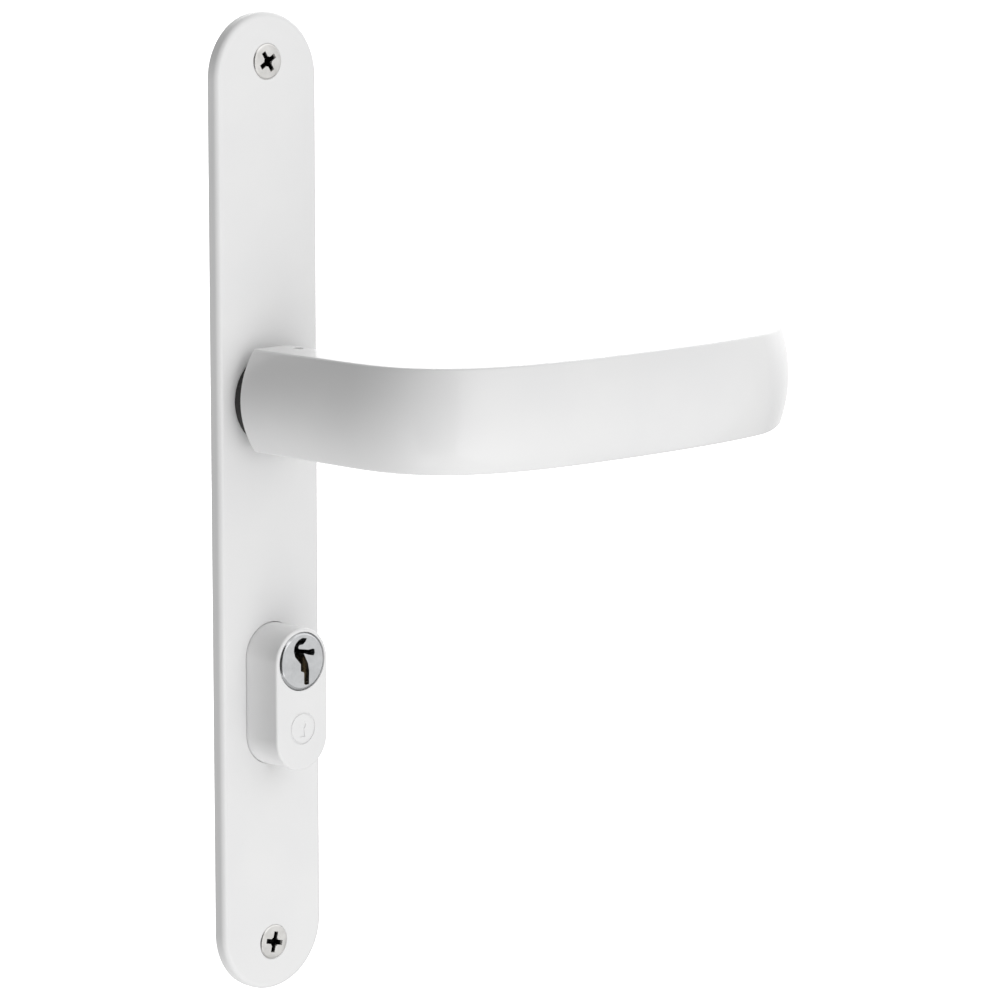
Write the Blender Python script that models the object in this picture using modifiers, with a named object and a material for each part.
"""Door handle set: a long backplate, a sprung lever handle and a five-pin half cylinder.

World frame: metres, +Z up. The origin is the centre of the backplate's rear face, which
lies against the door. The front faces -Y and the lever points along +X.

Every piece is built in a working frame that an empty turns upright: working x is world
+X, working y is world +Z, and working z is the distance in front of the door's face.
"""

import math

import bmesh
import bpy
from mathutils import Vector
from mathutils.geometry import interpolate_bezier

MM = 0.001
GAP = 0.3 * MM                      # clearance between pieces that touch
PLAY = 0.15 * MM                    # clearance of thin pieces in their grooves and keys
BEYOND = 1 * MM                     # how far a cutter runs past the face it cuts
NAME = "door_handle_set"

# Backplate
PLATE_LENGTH = 250 * MM
PLATE_WIDTH = 33 * MM
PLATE_THICKNESS = 3.6 * MM
PLATE_EDGE_RADIUS = 1.5 * MM
PLATE_SCREW_Y = 112.7 * MM          # height of each fixing screw above and below the middle

# Fixing screws, M5 countersunk with a cross recess
SCREW_HEAD_RADIUS = 4.5 * MM
SCREW_RADIUS = 2.5 * MM
SCREW_HEAD_DEPTH = 2.2 * MM
SCREW_LENGTH = 19 * MM
SCREW_TIP_LENGTH = 1.5 * MM
SCREW_PLAIN_LENGTH = 1 * MM         # unthreaded shank under the head
SCREW_CROWN = 0.15 * MM             # how far the head's middle stands above the plate
SCREW_RIM = 0.1 * MM
THREAD_STEP = 1.5 * MM              # spacing of the rings that stand for the thread
RECESS_SPAN = 5.8 * MM              # across the cutter's mouth, just above the head
RECESS_ARM = 0.24                   # width of an arm, as a share of the span
RECESS_DEPTH = 1.9 * MM
COUNTERSINK_RADIUS = 4.75 * MM
SCREW_TURNS = {"top": math.radians(32), "bottom": math.radians(-14)}

# Lever handle
LEVER_Y = 28.3 * MM                 # height of the lever's axis above the plate's middle
LEVER_RISE = 0.6 * MM               # how far the lever's middle lies above its axis
LEVER_HEIGHT = 26 * MM
LEVER_ROOT = 7.6 * MM               # where the neck starts, in front of the door
LEVER_EDGE = 0.5 * MM
TIP_RADIUS = 0.8 * MM
TIP_INSET = 0.5 * MM
STUB_RADIUS = 8 * MM
STUB_END = -9.4 * MM
STUB_FLAT = 6.6 * MM                # half the distance across the stub's flats
STUB_OVERLAP = 4 * MM               # how far the stub runs into the neck
LEVER_PIN_RADIUS = 1.25 * MM
LEVER_PIN_Z = 14.6 * MM
LEVER_PIN_LOW = -8.7 * MM
LEVER_PIN_INSET = 0.5 * MM          # how far the pin stops short of the lever's top

# Outer lip of the lever in plan: knots (x, z) with the handles before and after each
LEVER_PATH = [
    ((-8.8, 7.6), (-8.8, 7.6), (-9.2, 20.0)),
    ((-9.5, 45.6), (-9.5, 33.0), (-9.5, 69.6)),
    ((45.0, 79.8), (4.0, 79.6), (65.0, 80.2)),
    ((105.0, 75.1), (88.0, 79.1), (110.0, 73.9)),
    ((122.8, 65.2), (117.4, 69.4), (124.0, 64.3)),
]
LEVER_STEPS = (5, 14, 9, 5)
# Section at each knot: depth of the flat lip, crown of the front, swell of the back, in mm
LEVER_SECTIONS = [
    (9.4, 4.6, 11.6),
    (9.5, 3.4, 10.6),
    (2.1, 2.7, 6.4),
    (1.4, 2.4, 5.4),
    (1.3, 2.2, 3.6),
]
FRONT_STEPS = 10
BACK_STEPS = 12

# Parts behind the lever, as distances in front of the door's face where they are heights
BUSH_FLANGE_RADIUS = 11.75 * MM
BUSH_SLEEVE_RADIUS = 10 * MM
BUSH_EDGE = 0.3 * MM
SPINDLE_SIDE = 8 * MM
SPINDLE_EDGE = 0.5 * MM
SPINDLE_FRONT = 24 * MM
SPINDLE_REAR = -14.4 * MM
WASHER_RADIUS = 11.6 * MM
WASHER_FRONT = -0.4 * MM
WASHER_BACK = WASHER_FRONT - 0.5 * MM
WASHER_WAVE = 0.25 * MM
RETURN_SPRING_RADIUS = 9.6 * MM
RETURN_SPRING_WIRE = 1.2 * MM
RETURN_SPRING_TURNS = 2.25
RETURN_SPRING_START = 90            # degrees: the fixed leg points straight up
RETURN_SPRING_LEG_RADIUS = 13 * MM  # the fixed leg's distance from the lever's axis
RETURN_SPRING_BEND = 0.9 * MM
RETURN_SPRING_LEG_TIP = 1.2 * MM
LEG_HOLE_DEPTH = 1.6 * MM
SPRING_FRONT = -2.4 * MM
SPRING_BACK = SPRING_FRONT - 1.35 * MM * RETURN_SPRING_TURNS
DRIVER_RADIUS = 10 * MM
DRIVER_NOTCH_RADIUS = 8.75 * MM
DRIVER_NOTCH = (-12, 72)            # degrees either side of the spring's driven leg
DRIVER_THICKNESS = 1.1 * MM
DRIVER_FRONT = SPRING_BACK - RETURN_SPRING_WIRE / 2 - GAP
DRIVER_BACK = DRIVER_FRONT - DRIVER_THICKNESS
CIRCLIP_THICKNESS = 0.7 * MM
CIRCLIP_FRONT = DRIVER_BACK - GAP
CIRCLIP_BACK = CIRCLIP_FRONT - CIRCLIP_THICKNESS
CIRCLIP_INSET = 0.7 * MM            # how far a retaining ring sits inside its shaft
CIRCLIP_RIM = 1.1 * MM              # how far it stands out of the shaft
CIRCLIP_GROOVE = 1 * MM

# Half cylinder
PLUG_Y = -37.6 * MM                 # height of the plug's axis
BODY_HALF_WIDTH = 8.5 * MM
BODY_BOTTOM_Y = -65.65 * MM
BODY_FRONT = 15.3 * MM
BODY_REAR = -8.3 * MM
BODY_EDGE = 0.5 * MM
BODY_ARC_STEPS = 23                 # odd, so that no edge runs along the chambers' middle
PLUG_FLANGE_RADIUS = 7.4 * MM
PLUG_FLANGE_DEPTH = 1.4 * MM
PLUG_CHAMFER = 0.5 * MM
PLUG_PROUD = 0.3 * MM
PLUG_RADIUS = 6.9 * MM
PLUG_REAR = -10 * MM
PLUG_CLIP_FRONT = BODY_REAR - GAP
PLUG_CLIP_BACK = PLUG_CLIP_FRONT - CIRCLIP_THICKNESS
TAIL_RADIUS = 3.2 * MM
TAIL_FLAT = 2.3 * MM
TAIL_END = -12.7 * MM
KEYWAY_DEPTH = 21.5 * MM
MARK_Y = PLUG_Y - 17.2 * MM
MARK_DEPTH = 0.25 * MM
MARK_RADIUS = 4.2 * MM
MARK_LINE = 0.6 * MM
MARK_HEAD_Y = 0.8 * MM              # middle of the keyhole's round head above the ring's
MARK_HEAD_RADIUS = 1.1 * MM
MARK_FOOT_Y = -2.3 * MM
MARK_FOOT_HALF_WIDTH = 0.9 * MM

# Cross-section of the keyway round the plug's axis, in mm
KEYWAY = [
    (1.4, 5.8), (0.0, 6.1), (-1.3, 5.7), (-2.2, 5.0), (-2.8, 4.1), (-3.0, 3.0), (-2.6, 1.5),
    (-1.6, 0.4), (-0.7, -0.6), (-0.7, -2.4), (0.4, -2.9), (0.4, -5.8), (0.8, -6.1), (2.0, -6.1),
    (2.1, -2.6), (1.7, -0.6), (0.9, 0.9), (0.3, 2.1), (1.9, 1.5), (3.6, 1.1), (4.0, 1.7),
    (3.9, 2.7), (3.4, 2.9), (1.9, 2.8), (-1.3, 3.4), (-1.5, 3.9), (-1.1, 4.4), (0.1, 4.4),
    (0.9, 5.0),
]

# Pin stacks
PIN_PITCH = 3.6 * MM
FIRST_PIN_Z = 10.9 * MM
PIN_RADIUS = 1.35 * MM
PIN_HOLE_RADIUS = 1.6 * MM
PIN_EDGE = 0.3 * MM
CHAMBER_TOP = -2 * MM               # the body's pin chambers start inside its bore
PIN_HOLE_TOP = 0.2 * MM             # the plug's pin holes end just past its axis
KEY_PIN_LENGTHS = [4.6 * MM, 3.6 * MM, 5.0 * MM, 4.1 * MM, 3.2 * MM]
KEY_PIN_TIP_RADIUS = 0.35 * MM
KEY_PIN_TAPER = 1.1 * MM
KEY_PIN_OUTER = 6.7 * MM            # distance of a key pin's flat end from the plug's axis
DRIVER_PIN_INNER = 7.3 * MM         # distance of a driver pin's near end from the plug's axis
DRIVER_PIN_LENGTH = 5.2 * MM
CHAMBER_PLUG_LENGTH = 4 * MM
CHAMBER_PLUG_RECESS = 0.6 * MM
PIN_SPRING_WIRE = 0.36 * MM
PIN_SPRING_TURNS = 5
PIN_SPRING_SEAT = 0.1 * MM          # clearance between a spring and its driver pin

# Cam and bracket behind the plate
CAM_RADIUS = 5.6 * MM
CAM_REACH = 15 * MM
CAM_HALF_WIDTH = 3.2 * MM
CAM_THICKNESS = 2.4 * MM
CAM_AIM = -60                       # degrees: the lobe hangs 30 degrees off straight down
CAM_BACK = PLUG_REAR - GAP - CAM_THICKNESS
CAM_SCREW_RADIUS = 1.2 * MM
CAM_THREAD_DEPTH = 4 * MM
CAM_HEAD_RADIUS = 3.0 * MM
CAM_HEAD_DEPTH = 1.4 * MM
BRACKET_FRONT = -GAP
BRACKET_HALF_WIDTH = 13 * MM
BRACKET_THICKNESS = 1.2 * MM
GROOVE_DEPTH = 0.9 * MM
BRACKET_SCREWS = [(0.0, -24.8 * MM), (-10.6 * MM, -66.5 * MM), (10.6 * MM, -66.5 * MM)]
BRACKET_SCREW_RADIUS = 1.4 * MM
BRACKET_HEAD_RADIUS = 2.3 * MM
BRACKET_HEAD_DEPTH = 1.2 * MM
BRACKET_BLIND_DEPTH = 2.4 * MM
BRACKET_MARGIN = 4 * MM
BRACKET_CORNER = 3 * MM
SMALL_THREAD_STEP = 0.9 * MM
HEAD_EDGE = 0.3 * MM

UP_TO_AXIS_Y = math.radians(-90)    # lays a turned piece's axis along working y


def clear_scene():
    for obj in list(bpy.data.objects):
        bpy.data.objects.remove(obj, do_unlink=True)


def new_collection(name):
    collection = bpy.data.collections.new(name)
    bpy.context.scene.collection.children.link(collection)
    return collection


def make_material(name, color, roughness, metallic):
    material = bpy.data.materials.new(name)
    material.use_nodes = True
    shader = material.node_tree.nodes["Principled BSDF"]
    shader.inputs["Base Color"].default_value = (*color, 1.0)
    shader.inputs["Roughness"].default_value = roughness
    shader.inputs["Metallic"].default_value = metallic
    return material


def make_axis(name, height):
    """An empty that turns the working frame upright at a height on the plate."""
    axis = bpy.data.objects.new(name, None)
    axis.location = (0.0, 0.0, height)
    axis.rotation_euler = (math.radians(90), 0.0, 0.0)
    PARTS.objects.link(axis)
    return axis


def place(obj, axis, location=(0.0, 0.0, 0.0), rotation=(0.0, 0.0, 0.0)):
    obj.parent = axis
    obj.location = location
    obj.rotation_euler = rotation
    return obj


def add_part(name, mesh, material, axis, location=(0.0, 0.0, 0.0), rotation=(0.0, 0.0, 0.0)):
    obj = bpy.data.objects.new(name, mesh)
    mesh.materials.clear()
    mesh.materials.append(material)
    PARTS.objects.link(obj)
    return place(obj, axis, location, rotation)


def add_cutter(name, mesh, axis, location=(0.0, 0.0, 0.0), rotation=(0.0, 0.0, 0.0)):
    obj = bpy.data.objects.new(name, mesh)
    obj.hide_render = True
    obj.display_type = "WIRE"
    CUTTERS.objects.link(obj)
    return place(obj, axis, location, rotation)


def combine(obj, other, operation):
    modifier = obj.modifiers.new(other.name, "BOOLEAN")
    modifier.operation = operation
    modifier.solver = "EXACT"
    modifier.object = other


def cut(obj, name, mesh, axis, location=(0.0, 0.0, 0.0), rotation=(0.0, 0.0, 0.0)):
    combine(obj, add_cutter(name, mesh, axis, location, rotation), "DIFFERENCE")


def finish_mesh(mesh):
    mesh.shade_smooth()
    mesh.set_sharp_from_angle(angle=math.radians(35))
    return mesh


def prism(outlines, low, high):
    """Solid between two heights from one or more closed outlines of (x, y) points."""
    curve = bpy.data.curves.new("outline", "CURVE")
    curve.dimensions = "2D"
    curve.fill_mode = "BOTH"
    curve.extrude = (high - low) / 2
    for points in outlines:
        spline = curve.splines.new("POLY")
        spline.points.add(len(points) - 1)
        spline.use_cyclic_u = True
        for point, (x, y) in zip(spline.points, points):
            point.co = (x, y, 0.0, 1.0)
    guide = bpy.data.objects.new("outline", curve)
    CUTTERS.objects.link(guide)
    evaluated = guide.evaluated_get(bpy.context.evaluated_depsgraph_get())
    mesh = bpy.data.meshes.new_from_object(evaluated)
    bpy.data.objects.remove(guide)
    cage = bmesh.new()
    cage.from_mesh(mesh)
    bmesh.ops.remove_doubles(cage, verts=cage.verts, dist=1e-7)
    bmesh.ops.translate(cage, verts=cage.verts, vec=(0.0, 0.0, (low + high) / 2))
    bmesh.ops.recalc_face_normals(cage, faces=cage.faces)
    cage.to_mesh(mesh)
    cage.free()
    return mesh


def arc(center_x, center_y, radius, start, end, steps):
    """Points on an arc, angles in degrees, both ends included."""
    points = []
    for i in range(steps + 1):
        angle = math.radians(start + (end - start) * i / steps)
        points.append((center_x + radius * math.cos(angle), center_y + radius * math.sin(angle)))
    return points


def obround(half_width, top, bottom, steps):
    """Upright slot shape: half circles centred at heights top and bottom."""
    return arc(0.0, top, half_width, 0, 180, steps) + arc(0.0, bottom, half_width, 180, 360, steps)


def circle(center_x, center_y, radius, steps):
    return arc(center_x, center_y, radius, 0, 360 - 360 / steps, steps - 1)


def flatted_circle(radius, half_width, steps):
    """Circle with its left and right sides cut flat."""
    swing = math.degrees(math.acos(half_width / radius))
    upper = arc(0.0, 0.0, radius, swing, 180 - swing, steps)
    return upper + arc(0.0, 0.0, radius, 180 + swing, 360 - swing, steps)


def cone(bottom_radius, top_radius, low, high, steps):
    mesh = bpy.data.meshes.new("cone")
    cage = bmesh.new()
    bmesh.ops.create_cone(
        cage,
        cap_ends=True,
        segments=steps,
        radius1=bottom_radius,
        radius2=top_radius,
        depth=high - low,
    )
    bmesh.ops.translate(cage, verts=cage.verts, vec=(0.0, 0.0, (low + high) / 2))
    cage.to_mesh(mesh)
    cage.free()
    return mesh


def cylinder(radius, low, high, steps):
    return cone(radius, radius, low, high, steps)


def block(width, height, low, high, taper=1.0):
    """Box centred on the axis between two heights, its low end narrowed by taper."""
    mesh = bpy.data.meshes.new("block")
    cage = bmesh.new()
    bmesh.ops.create_cube(cage, size=1.0)
    for vert in cage.verts:
        at_low_end = vert.co.z < 0
        narrow = taper if at_low_end else 1.0
        vert.co.x *= width * narrow
        vert.co.y *= height * narrow
        vert.co.z = low if at_low_end else high
    cage.to_mesh(mesh)
    cage.free()
    return mesh


def turned(name, profile, material, axis, steps, closed=False, **placing):
    """Piece turned about its own z from (radius, height) points, listed down the outer side."""
    mesh = bpy.data.meshes.new(name)
    cage = bmesh.new()
    verts = [cage.verts.new((radius, 0.0, height)) for radius, height in profile]
    for start, end in zip(verts, verts[1:]):
        cage.edges.new((start, end))
    if closed:
        cage.edges.new((verts[-1], verts[0]))
    cage.to_mesh(mesh)
    cage.free()
    obj = add_part(name, mesh, material, axis, **placing)
    screw = obj.modifiers.new("turn", "SCREW")
    screw.axis = "Z"
    screw.steps = steps
    screw.render_steps = steps
    screw.use_merge_vertices = True
    screw.merge_threshold = 1e-7
    screw.use_smooth_shade = True
    return obj


def wire(name, points, thickness, sides, material, axis, **placing):
    curve = bpy.data.curves.new(name, "CURVE")
    curve.dimensions = "3D"
    curve.bevel_depth = thickness / 2
    curve.bevel_resolution = sides // 2 - 2
    curve.use_fill_caps = True
    spline = curve.splines.new("POLY")
    spline.points.add(len(points) - 1)
    for point, (x, y, z) in zip(spline.points, points):
        point.co = (x, y, z, 1.0)
    curve.materials.append(material)
    obj = bpy.data.objects.new(name, curve)
    PARTS.objects.link(obj)
    return place(obj, axis, **placing)


def helix(radius, low, high, turns, steps_per_turn, start=0.0):
    count = round(turns * steps_per_turn)
    points = []
    for i in range(count + 1):
        angle = start + 2 * math.pi * i / steps_per_turn
        height = low + (high - low) * i / count
        points.append((radius * math.cos(angle), radius * math.sin(angle), height))
    return points


def bevel_front_edges(obj, height, width, segments):
    """Rounds the edges round the flat end of a prism at one height."""
    cage = bmesh.new()
    cage.from_mesh(obj.data)
    bmesh.ops.dissolve_limit(cage, angle_limit=math.radians(1), verts=cage.verts, edges=cage.edges)
    weights = cage.edges.layers.float.new("bevel_weight_edge")
    for edge in cage.edges:
        at_height = all(abs(vert.co.z - height) < 1e-6 for vert in edge.verts)
        if at_height and edge.calc_face_angle() > math.radians(45):
            edge[weights] = 1.0
    cage.to_mesh(obj.data)
    cage.free()
    bevel = obj.modifiers.new("edge", "BEVEL")
    bevel.limit_method = "WEIGHT"
    bevel.width = width
    bevel.segments = segments


def split_ring(shaft_radius, opening, steps):
    """Outline of a shaft's retaining ring, open at the top by an angle in degrees."""
    start = 90 + opening / 2
    end = 450 - opening / 2
    outer = arc(0.0, 0.0, shaft_radius + CIRCLIP_RIM, start, end, steps)
    inner = arc(0.0, 0.0, shaft_radius - CIRCLIP_INSET, end, start, steps)
    return outer + inner


def thread_profile(radius, top, bottom, pitch):
    """Outer side of a thread drawn as rings, from top to bottom."""
    depth = 0.45 * pitch
    turns = max(1, int((top - bottom) / pitch))
    step = (top - bottom) / turns
    points = []
    for i in range(turns):
        points.append((radius - depth, top - step * i))
        points.append((radius, top - step * (i + 0.5)))
    points.append((radius - depth, bottom))
    return points


def cut_flats(obj, axis, radius, half_width, low, high):
    """Cuts the left and right sides of a round shaft flat."""
    for side in (-1, 1):
        flat = block(radius, 4 * radius, low, high)
        at = (side * (half_width + radius / 2), 0.0, 0.0)
        cut(obj, f"{obj.name}_flat_{'left' if side < 0 else 'right'}", flat, axis, at)


def cut_cross_recess(screw, axis, face, location, turn):
    for i in range(2):
        low = face - RECESS_DEPTH
        cutter = block(RECESS_SPAN, RECESS_SPAN * RECESS_ARM, low, face + BEYOND / 2, taper=0.45)
        angle = turn + math.radians(90 * i)
        cut(screw, f"{screw.name}_recess_{i + 1}", cutter, axis, location, (0.0, 0.0, angle))


def build_backplate():
    end_center = PLATE_LENGTH / 2 - PLATE_WIDTH / 2
    outline = obround(PLATE_WIDTH / 2, end_center, -end_center, 28)
    mesh = prism([outline], 0.0, PLATE_THICKNESS)
    plate = add_part("backplate", mesh, WHITE, SET_FRAME)
    bevel_front_edges(plate, PLATE_THICKNESS, PLATE_EDGE_RADIUS, 3)
    beyond = PLATE_THICKNESS + GAP
    lever_hole = cylinder(BUSH_SLEEVE_RADIUS + GAP, -GAP, beyond, 40)
    cut(plate, "lever_hole", lever_hole, LEVER_AXIS)
    opening = obround(BODY_HALF_WIDTH + GAP, PLUG_Y, BODY_BOTTOM_Y + BODY_HALF_WIDTH, 20)
    cut(plate, "cylinder_opening", prism([opening], -GAP, beyond), SET_FRAME)
    for end, side in (("top", 1), ("bottom", -1)):
        place_at = (0.0, side * PLATE_SCREW_Y, 0.0)
        shank = cylinder(SCREW_RADIUS + GAP, -GAP, beyond, 24)
        cut(plate, f"screw_hole_{end}", shank, SET_FRAME, place_at)
        rise = beyond - (PLATE_THICKNESS - SCREW_HEAD_DEPTH)
        slope = (COUNTERSINK_RADIUS - SCREW_RADIUS - GAP) / SCREW_HEAD_DEPTH
        mouth = SCREW_RADIUS + GAP + slope * rise
        low = PLATE_THICKNESS - SCREW_HEAD_DEPTH
        sink = cone(SCREW_RADIUS + GAP, mouth, low, beyond, 32)
        cut(plate, f"countersink_{end}", sink, SET_FRAME, place_at)
    leg_hole = cylinder(RETURN_SPRING_WIRE / 2 + GAP, -GAP, LEG_HOLE_DEPTH, 12)
    at = arc(0.0, 0.0, RETURN_SPRING_LEG_RADIUS, RETURN_SPRING_START, RETURN_SPRING_START, 1)[0]
    cut(plate, "spring_leg_hole", leg_hole, LEVER_AXIS, (*at, 0.0))
    for i, (x, y) in enumerate(BRACKET_SCREWS, 1):
        blind = cylinder(BRACKET_SCREW_RADIUS + GAP, -GAP, BRACKET_BLIND_DEPTH, 16)
        cut(plate, f"bracket_hole_{i}", blind, SET_FRAME, (x, y, 0.0))


def build_fixing_screw(end, side):
    face = PLATE_THICKNESS
    neck = face - SCREW_HEAD_DEPTH
    end_of_thread = face - SCREW_LENGTH + SCREW_TIP_LENGTH
    thread_top = neck - SCREW_PLAIN_LENGTH
    profile = [(0.0, face + SCREW_CROWN), (SCREW_HEAD_RADIUS * 0.6, face + SCREW_RIM)]
    profile += [(SCREW_HEAD_RADIUS, face - SCREW_RIM), (SCREW_RADIUS, neck)]
    profile += thread_profile(SCREW_RADIUS, thread_top, end_of_thread, THREAD_STEP)
    profile += [(SCREW_RADIUS * 0.5, face - SCREW_LENGTH), (0.0, face - SCREW_LENGTH)]
    at = (0.0, side * PLATE_SCREW_Y, 0.0)
    screw = turned(f"fixing_screw_{end}", profile, SATIN_STEEL, SET_FRAME, 18, location=at)
    cut_cross_recess(screw, SET_FRAME, face, at, SCREW_TURNS[end])


def smooth_step(value):
    return value * value * (3 - 2 * value)


def lever_stations():
    """Lip position, outward direction and section sizes along the lever, root to tip."""
    stations = []
    for index, steps in enumerate(LEVER_STEPS):
        start, handle_out = LEVER_PATH[index][0], LEVER_PATH[index][2]
        end, handle_in = LEVER_PATH[index + 1][0], LEVER_PATH[index + 1][1]
        knots = (start, handle_out, handle_in, end)
        corners = [Vector((x * MM, LEVER_RISE, z * MM)) for x, z in knots]
        points = interpolate_bezier(*corners, steps + 1)
        sizes = zip(LEVER_SECTIONS[index], LEVER_SECTIONS[index + 1])
        sizes = [(low * MM, high * MM) for low, high in sizes]
        is_last = index == len(LEVER_STEPS) - 1
        for i, point in enumerate(points if is_last else points[:-1]):
            blend = smooth_step(i / steps)
            section = [low + (high - low) * blend for low, high in sizes]
            stations.append((point, section))
    centers = [point for point, _ in stations]
    result = []
    for i, (point, section) in enumerate(stations):
        before = centers[max(i - 1, 0)]
        after = centers[min(i + 1, len(centers) - 1)]
        along = Vector((0.0, 0.0, 1.0)) if i == 0 else (after - before).normalized()
        outward = Vector((-along.z, 0.0, along.x))
        result.append((point, along, outward, section))
    return result


def lever_ring(point, outward, section, half_height, inset):
    """Closed ring of points: crowned front, flat lips and swollen back."""
    lip_depth, crown, swell = section
    ring = []
    for i in range(FRONT_STEPS + 1):
        height = 1 - 2 * i / FRONT_STEPS
        offset = crown * (1 - height * height) - inset
        ring.append(point + outward * offset + Vector((0.0, half_height * height, 0.0)))
    for i in range(BACK_STEPS + 1):
        angle = math.radians(-90 + 180 * i / BACK_STEPS)
        offset = -lip_depth - swell * max(math.cos(angle), 0.0) ** 0.85 + inset * 0.5
        height = half_height * math.sin(angle)
        ring.append(point + outward * offset + Vector((0.0, height, 0.0)))
    return ring


def lever_mesh():
    """Loft from the round-backed neck to the thin curled tip."""
    half_height = LEVER_HEIGHT / 2
    stations = lever_stations()
    rings = [lever_ring(p, out, size, half_height, 0.0) for p, _, out, size in stations]
    point, along, outward, section = stations[-1]
    for i in range(1, 5):
        angle = math.radians(90 * i / 4)
        drop = 1 - math.cos(angle)
        moved = point + along * TIP_RADIUS * math.sin(angle)
        shorter = half_height - TIP_RADIUS * drop
        rings.append(lever_ring(moved, outward, section, shorter, TIP_INSET * drop))
    mesh = bpy.data.meshes.new("lever_handle")
    cage = bmesh.new()
    loops = [[cage.verts.new(co) for co in ring] for ring in rings]
    count = len(loops[0])
    for near, far in zip(loops, loops[1:]):
        for i in range(count):
            j = (i + 1) % count
            cage.faces.new((near[i], near[j], far[j], far[i]))
    cage.faces.new(list(reversed(loops[0])))
    cage.faces.new(loops[-1])
    bmesh.ops.recalc_face_normals(cage, faces=cage.faces)
    cage.to_mesh(mesh)
    cage.free()
    return finish_mesh(mesh)


def build_lever_handle():
    lever = add_part("lever_handle", lever_mesh(), WHITE, LEVER_AXIS)
    bevel = lever.modifiers.new("edge", "BEVEL")
    bevel.limit_method = "ANGLE"
    bevel.angle_limit = math.radians(40)
    bevel.width = LEVER_EDGE
    bevel.segments = 2
    stub = cylinder(STUB_RADIUS, STUB_END, LEVER_ROOT + STUB_OVERLAP, 40)
    combine(lever, add_cutter("lever_stub", stub, LEVER_AXIS), "UNION")
    outer = circle(0.0, 0.0, STUB_RADIUS + BEYOND, 40)
    inner = circle(0.0, 0.0, STUB_RADIUS - CIRCLIP_GROOVE, 40)
    ring = prism([outer, inner], CIRCLIP_BACK - PLAY, CIRCLIP_FRONT + PLAY)
    cut(lever, "lever_groove", ring, LEVER_AXIS)
    low = STUB_END - BEYOND
    cut_flats(lever, LEVER_AXIS, STUB_RADIUS, STUB_FLAT, low, DRIVER_FRONT + PLAY)
    side = SPINDLE_SIDE + 2 * GAP
    socket = block(side, side, low, SPINDLE_FRONT + GAP)
    cut(lever, "spindle_socket", socket, LEVER_AXIS)
    low = LEVER_PIN_LOW - GAP
    high = LEVER_RISE + LEVER_HEIGHT / 2 + BEYOND
    hole = cylinder(LEVER_PIN_RADIUS + PLAY, low, high, 16)
    at = (0.0, 0.0, LEVER_PIN_Z)
    cut(lever, "lever_pin_hole", hole, LEVER_AXIS, at, (UP_TO_AXIS_Y, 0.0, 0.0))


def build_return_spring():
    """Torsion spring with one leg hooked in the plate; returns its driven leg's angle."""
    start = math.radians(RETURN_SPRING_START)
    turns = RETURN_SPRING_TURNS
    coil = helix(RETURN_SPRING_RADIUS, SPRING_FRONT, SPRING_BACK, turns, 16, start)
    leg = []
    bend = RETURN_SPRING_BEND
    corner = RETURN_SPRING_LEG_RADIUS - bend
    leg.append((RETURN_SPRING_LEG_RADIUS, RETURN_SPRING_LEG_TIP))
    for degrees in (0, -30, -60, -90):
        angle = math.radians(degrees)
        reach = corner + bend * math.cos(angle)
        leg.append((reach, SPRING_FRONT + bend + bend * math.sin(angle)))
    hook = [(reach * math.cos(start), reach * math.sin(start), z) for reach, z in leg]
    last_x, last_y, last_z = coil[-1]
    end_of_leg = (last_x, last_y, DRIVER_BACK + PLAY)
    points = hook + coil + [end_of_leg]
    wire("lever_return_spring", points, RETURN_SPRING_WIRE, 6, SPRING_STEEL, LEVER_AXIS)
    return math.degrees(math.atan2(last_y, last_x))


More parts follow.
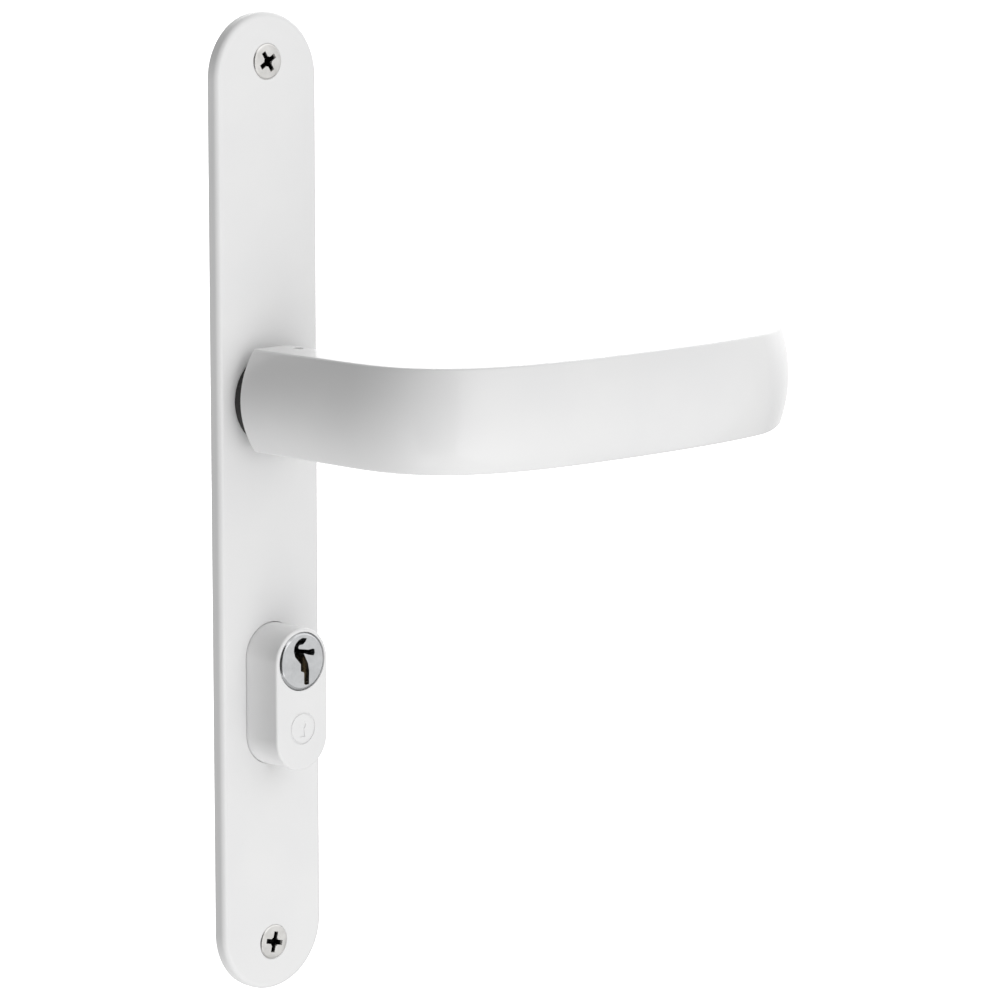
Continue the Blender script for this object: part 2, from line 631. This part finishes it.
def build_lever_fittings():
    """Pin, spindle, bush, washer, return spring, driver and circlip behind the lever."""
    pin_top = LEVER_RISE + LEVER_HEIGHT / 2 - LEVER_PIN_INSET
    profile = [
        (0.0, pin_top),
        (LEVER_PIN_RADIUS - PIN_EDGE, pin_top),
        (LEVER_PIN_RADIUS, pin_top - PIN_EDGE),
        (LEVER_PIN_RADIUS, LEVER_PIN_LOW + PIN_EDGE),
        (LEVER_PIN_RADIUS - PIN_EDGE, LEVER_PIN_LOW),
        (0.0, LEVER_PIN_LOW),
    ]
    at = (0.0, 0.0, LEVER_PIN_Z)
    lay = (UP_TO_AXIS_Y, 0.0, 0.0)
    turned("lever_pin", profile, SATIN_STEEL, LEVER_AXIS, 16, location=at, rotation=lay)

    bar = block(SPINDLE_SIDE, SPINDLE_SIDE, SPINDLE_REAR, SPINDLE_FRONT)
    spindle = add_part("spindle", bar, ZINC_STEEL, LEVER_AXIS)
    bevel = spindle.modifiers.new("edge", "BEVEL")
    bevel.width = SPINDLE_EDGE
    bevel.segments = 1
    pin_hole = cylinder(LEVER_PIN_RADIUS + PLAY, -SPINDLE_SIDE, SPINDLE_SIDE, 16)
    cut(spindle, "spindle_pin_hole", pin_hole, LEVER_AXIS, at, lay)

    flange_back = PLATE_THICKNESS + GAP
    flange_front = LEVER_ROOT - GAP
    inner = STUB_RADIUS + GAP
    profile = [
        (inner, flange_front),
        (BUSH_FLANGE_RADIUS - BUSH_EDGE, flange_front),
        (BUSH_FLANGE_RADIUS, flange_front - BUSH_EDGE),
        (BUSH_FLANGE_RADIUS, flange_back),
        (BUSH_SLEEVE_RADIUS, flange_back),
        (BUSH_SLEEVE_RADIUS, GAP),
        (inner, GAP),
    ]
    turned("lever_bush", profile, BLACK_PLASTIC, LEVER_AXIS, 40, closed=True)

    outlines = [circle(0.0, 0.0, WASHER_RADIUS, 36), circle(0.0, 0.0, STUB_RADIUS + GAP, 36)]
    mesh = prism(outlines, WASHER_BACK, WASHER_FRONT)
    for vert in mesh.vertices:
        vert.co.z += WASHER_WAVE * math.cos(3 * math.atan2(vert.co.y, vert.co.x))
    add_part("lever_wave_washer", finish_mesh(mesh), SPRING_STEEL, LEVER_AXIS)

    leg_angle = build_return_spring()
    notch_start = leg_angle + DRIVER_NOTCH[0]
    notch_end = leg_angle + DRIVER_NOTCH[1]
    driver = arc(0.0, 0.0, DRIVER_RADIUS, notch_end, notch_start + 360, 32)
    driver += arc(0.0, 0.0, DRIVER_NOTCH_RADIUS, notch_start + 360, notch_end + 360, 12)
    window = flatted_circle(STUB_RADIUS + PLAY, STUB_FLAT + PLAY, 16)
    mesh = prism([driver, window], DRIVER_BACK, DRIVER_FRONT)
    add_part("spring_driver", finish_mesh(mesh), ZINC_STEEL, LEVER_AXIS)

    ring = split_ring(STUB_RADIUS, 50, 28)
    mesh = prism([ring], CIRCLIP_BACK, CIRCLIP_FRONT)
    add_part("lever_circlip", finish_mesh(mesh), SPRING_STEEL, LEVER_AXIS)


def pin_station(index):
    """Distance in front of the door of a pin stack, counted from the front."""
    return FIRST_PIN_Z - PIN_PITCH * index


def mark_mesh():
    """Plain keyhole sign inside a thin ring, cut shallow into the body's face."""
    ring = circle(0.0, 0.0, MARK_RADIUS, 40)
    inside = circle(0.0, 0.0, MARK_RADIUS - MARK_LINE, 40)
    keyhole = arc(0.0, MARK_HEAD_Y, MARK_HEAD_RADIUS, -60, 240, 16)
    keyhole += [(-MARK_FOOT_HALF_WIDTH, MARK_FOOT_Y), (MARK_FOOT_HALF_WIDTH, MARK_FOOT_Y)]
    return prism([ring, inside, keyhole], BODY_FRONT - MARK_DEPTH, BODY_FRONT + BEYOND)


def build_cylinder_body():
    bottom_center = BODY_BOTTOM_Y + BODY_HALF_WIDTH
    outline = obround(BODY_HALF_WIDTH, PLUG_Y, bottom_center, BODY_ARC_STEPS)
    mesh = prism([outline], BODY_REAR, BODY_FRONT)
    body = add_part("cylinder_body", mesh, WHITE, SET_FRAME)
    bevel_front_edges(body, BODY_FRONT, BODY_EDGE, 2)
    cut(body, "mark", mark_mesh(), SET_FRAME, (0.0, MARK_Y, 0.0))
    bore = cylinder(PLUG_RADIUS + GAP, BODY_REAR - BEYOND, BODY_FRONT + BEYOND, 48)
    cut(body, "plug_bore", bore, PLUG_AXIS)
    floor = BODY_FRONT - PLUG_FLANGE_DEPTH - GAP
    counterbore = cylinder(PLUG_FLANGE_RADIUS + GAP, floor, BODY_FRONT + BEYOND, 48)
    cut(body, "plug_counterbore", counterbore, PLUG_AXIS)
    depth = PLUG_Y - BODY_BOTTOM_Y + BEYOND
    for i in range(len(KEY_PIN_LENGTHS)):
        chamber = cylinder(PIN_HOLE_RADIUS, -depth, CHAMBER_TOP, 16)
        at = (0.0, 0.0, pin_station(i))
        cut(body, f"chamber_{i + 1}", chamber, PLUG_AXIS, at, (UP_TO_AXIS_Y, 0.0, 0.0))
    outer = obround(BODY_HALF_WIDTH + BEYOND, PLUG_Y, bottom_center, BODY_ARC_STEPS)
    inner = obround(BODY_HALF_WIDTH - GROOVE_DEPTH, PLUG_Y, bottom_center, BODY_ARC_STEPS)
    groove = prism([outer, inner], BRACKET_FRONT - BRACKET_THICKNESS - GAP, BRACKET_FRONT + GAP)
    cut(body, "bracket_groove", groove, SET_FRAME)


def build_plug():
    face = BODY_FRONT + PLUG_PROUD
    seat = BODY_FRONT - PLUG_FLANGE_DEPTH
    groove_radius = PLUG_RADIUS - CIRCLIP_GROOVE
    groove_front = PLUG_CLIP_FRONT + PLAY
    groove_back = PLUG_CLIP_BACK - PLAY
    profile = [
        (0.0, face),
        (PLUG_FLANGE_RADIUS - PLUG_CHAMFER, face),
        (PLUG_FLANGE_RADIUS, face - PLUG_CHAMFER),
        (PLUG_FLANGE_RADIUS, seat),
        (PLUG_RADIUS, seat),
        (PLUG_RADIUS, groove_front),
        (groove_radius, groove_front),
        (groove_radius, groove_back),
        (PLUG_RADIUS, groove_back),
        (PLUG_RADIUS, PLUG_REAR),
        (TAIL_RADIUS, PLUG_REAR),
        (TAIL_RADIUS, TAIL_END),
        (0.0, TAIL_END),
    ]
    plug = turned("cylinder_plug", profile, CHROME, PLUG_AXIS, 48)
    outline = [(x * MM, y * MM) for x, y in KEYWAY]
    keyway = prism([outline], face - KEYWAY_DEPTH, face + BEYOND)
    cut(plug, "keyway", keyway, PLUG_AXIS)
    for i in range(len(KEY_PIN_LENGTHS)):
        hole = cylinder(PIN_HOLE_RADIUS, -PLUG_RADIUS - BEYOND, PIN_HOLE_TOP, 16)
        at = (0.0, 0.0, pin_station(i))
        cut(plug, f"pin_hole_{i + 1}", hole, PLUG_AXIS, at, (UP_TO_AXIS_Y, 0.0, 0.0))
    shoulder = PLUG_REAR - 0.1 * MM
    cut_flats(plug, PLUG_AXIS, TAIL_RADIUS, TAIL_FLAT, TAIL_END - BEYOND, shoulder)
    bottom = TAIL_END + CAM_THREAD_DEPTH
    thread = cylinder(CAM_SCREW_RADIUS + PLAY, TAIL_END - BEYOND, bottom, 16)
    cut(plug, "tail_thread", thread, PLUG_AXIS)


def chamber_pin(name, low, high, material, station):
    """Plain round pin in a chamber, with its inner end chamfered."""
    profile = [
        (0.0, high),
        (PIN_RADIUS - PIN_EDGE, high),
        (PIN_RADIUS, high - PIN_EDGE),
        (PIN_RADIUS, low),
        (0.0, low),
    ]
    placing = {"location": (0.0, 0.0, station), "rotation": (UP_TO_AXIS_Y, 0.0, 0.0)}
    turned(name, profile, material, PLUG_AXIS, 14, **placing)


def build_pin_stack(number, station, key_pin_length):
    """Key pin, driver pin, spring and chamber plug, with heights from the plug's axis."""
    placing = {"location": (0.0, 0.0, station), "rotation": (UP_TO_AXIS_Y, 0.0, 0.0)}
    inner = key_pin_length - KEY_PIN_OUTER
    profile = [
        (0.0, inner),
        (KEY_PIN_TIP_RADIUS, inner),
        (PIN_RADIUS, inner - KEY_PIN_TAPER),
        (PIN_RADIUS, -KEY_PIN_OUTER),
        (0.0, -KEY_PIN_OUTER),
    ]
    turned(f"key_pin_{number}", profile, BRASS, PLUG_AXIS, 14, **placing)

    driver_low = -DRIVER_PIN_INNER - DRIVER_PIN_LENGTH
    name = f"driver_pin_{number}"
    chamber_pin(name, driver_low, -DRIVER_PIN_INNER, SATIN_STEEL, station)

    plug_low = BODY_BOTTOM_Y - PLUG_Y + CHAMBER_PLUG_RECESS
    plug_high = plug_low + CHAMBER_PLUG_LENGTH
    chamber_pin(f"chamber_plug_{number}", plug_low, plug_high, BRASS, station)

    half_wire = PIN_SPRING_WIRE / 2
    low = plug_high + GAP + half_wire
    high = driver_low - PIN_SPRING_SEAT - half_wire
    coil = helix(PIN_RADIUS - half_wire, low, high, PIN_SPRING_TURNS, 8)
    name = f"pin_spring_{number}"
    wire(name, coil, PIN_SPRING_WIRE, 4, SPRING_STEEL, PLUG_AXIS, **placing)


def build_cam():
    """Ring on the plug's tail with a lobe that throws the lock's bolt."""
    lobe = math.degrees(math.asin(CAM_HALF_WIDTH / CAM_RADIUS))
    outline = arc(0.0, 0.0, CAM_RADIUS, CAM_AIM + lobe, CAM_AIM + 360 - lobe, 32)
    nose = CAM_HALF_WIDTH * 0.8
    nose_x = (CAM_REACH - nose) * math.cos(math.radians(CAM_AIM))
    nose_y = (CAM_REACH - nose) * math.sin(math.radians(CAM_AIM))
    outline += arc(nose_x, nose_y, nose, CAM_AIM - 90, CAM_AIM + 90, 10)
    window = flatted_circle(TAIL_RADIUS + PLAY, TAIL_FLAT + PLAY, 10)
    mesh = prism([outline, window], CAM_BACK, CAM_BACK + CAM_THICKNESS)
    add_part("cam", finish_mesh(mesh), ZINC_STEEL, PLUG_AXIS)


def slotted_screw_profile(radius, tip, seat, head_radius, head_depth):
    """Screw driven from behind: tip in front, head behind its seat."""
    back = seat - head_depth
    profile = [(0.0, tip)]
    profile += thread_profile(radius, tip - HEAD_EDGE, seat, SMALL_THREAD_STEP)
    profile += [
        (head_radius, seat),
        (head_radius, back + HEAD_EDGE),
        (head_radius - HEAD_EDGE, back),
        (0.0, back),
    ]
    return profile


def cut_slot(screw, axis, seat, head_radius, head_depth, location, turn):
    """Driver slot, a quarter of the head wide and half of it deep."""
    back = seat - head_depth
    slot = block(head_radius / 4, 3 * head_radius, back - BEYOND, back + head_depth / 2)
    cut(screw, f"{screw.name}_slot", slot, axis, location, (0.0, 0.0, turn))


def build_cylinder_fittings():
    ring = split_ring(PLUG_RADIUS, 60, 28)
    mesh = prism([ring], PLUG_CLIP_BACK, PLUG_CLIP_FRONT)
    add_part("plug_circlip", finish_mesh(mesh), SPRING_STEEL, PLUG_AXIS)

    head_front = CAM_BACK - GAP
    tip = TAIL_END + CAM_THREAD_DEPTH - GAP
    head = (CAM_HEAD_RADIUS, CAM_HEAD_DEPTH)
    profile = slotted_screw_profile(CAM_SCREW_RADIUS, tip, head_front, *head)
    screw = turned("cam_screw", profile, SATIN_STEEL, PLUG_AXIS, 16)
    cut_slot(screw, PLUG_AXIS, head_front, *head, (0.0, 0.0, 0.0), 0.0)


def build_bracket():
    """Flat fork that grips the groove of the cylinder body and is screwed to the plate."""
    mouth = BODY_HALF_WIDTH - GROOVE_DEPTH + GAP
    low = BRACKET_SCREWS[1][1] - BRACKET_MARGIN
    high = BRACKET_SCREWS[0][1] + BRACKET_MARGIN
    corner = BRACKET_CORNER
    right = BRACKET_HALF_WIDTH - corner
    outline = arc(right, low + corner, corner, -90, 0, 6)
    outline += arc(right, high - corner, corner, 0, 90, 6)
    outline += arc(-right, high - corner, corner, 90, 180, 6)
    outline += arc(-right, low + corner, corner, 180, 270, 6)
    outline += [(-mouth, low)] + arc(0.0, PLUG_Y, mouth, 180, 0, 24) + [(mouth, low)]
    holes = [circle(x, y, BRACKET_SCREW_RADIUS + GAP, 20) for x, y in BRACKET_SCREWS]
    mesh = prism([outline] + holes, BRACKET_FRONT - BRACKET_THICKNESS, BRACKET_FRONT)
    add_part("cylinder_bracket", finish_mesh(mesh), ZINC_STEEL, SET_FRAME)

    seat = BRACKET_FRONT - BRACKET_THICKNESS - GAP
    tip = BRACKET_BLIND_DEPTH - GAP
    head = (BRACKET_HEAD_RADIUS, BRACKET_HEAD_DEPTH)
    profile = slotted_screw_profile(BRACKET_SCREW_RADIUS, tip, seat, *head)
    for i, (x, y) in enumerate(BRACKET_SCREWS, 1):
        at = (x, y, 0.0)
        screw = turned(f"bracket_screw_{i}", profile, SATIN_STEEL, SET_FRAME, 14, location=at)
        cut_slot(screw, SET_FRAME, seat, *head, at, math.radians(25 * i))


clear_scene()
PARTS = new_collection(NAME)
CUTTERS = new_collection("cutters")
SET_FRAME = make_axis("set_frame", 0.0)
LEVER_AXIS = make_axis("lever_axis", LEVER_Y)
PLUG_AXIS = make_axis("plug_axis", PLUG_Y)

WHITE = make_material("white_coat", (0.86, 0.86, 0.86), 0.35, 0.0)
SATIN_STEEL = make_material("satin_steel", (0.62, 0.61, 0.59), 0.32, 1.0)
ZINC_STEEL = make_material("zinc_plated_steel", (0.66, 0.67, 0.70), 0.38, 1.0)
SPRING_STEEL = make_material("spring_steel", (0.30, 0.30, 0.32), 0.35, 1.0)
CHROME = make_material("chrome", (0.75, 0.76, 0.78), 0.12, 1.0)
BRASS = make_material("brass", (0.72, 0.55, 0.27), 0.28, 1.0)
BLACK_PLASTIC = make_material("black_nylon", (0.02, 0.02, 0.02), 0.5, 0.0)

build_backplate()
build_fixing_screw("top", 1)
build_fixing_screw("bottom", -1)
build_lever_handle()
build_lever_fittings()
build_cylinder_body()
build_plug()
for index, length in enumerate(KEY_PIN_LENGTHS):
    build_pin_stack(index + 1, pin_station(index), length)
build_cam()
build_cylinder_fittings()
build_bracket()
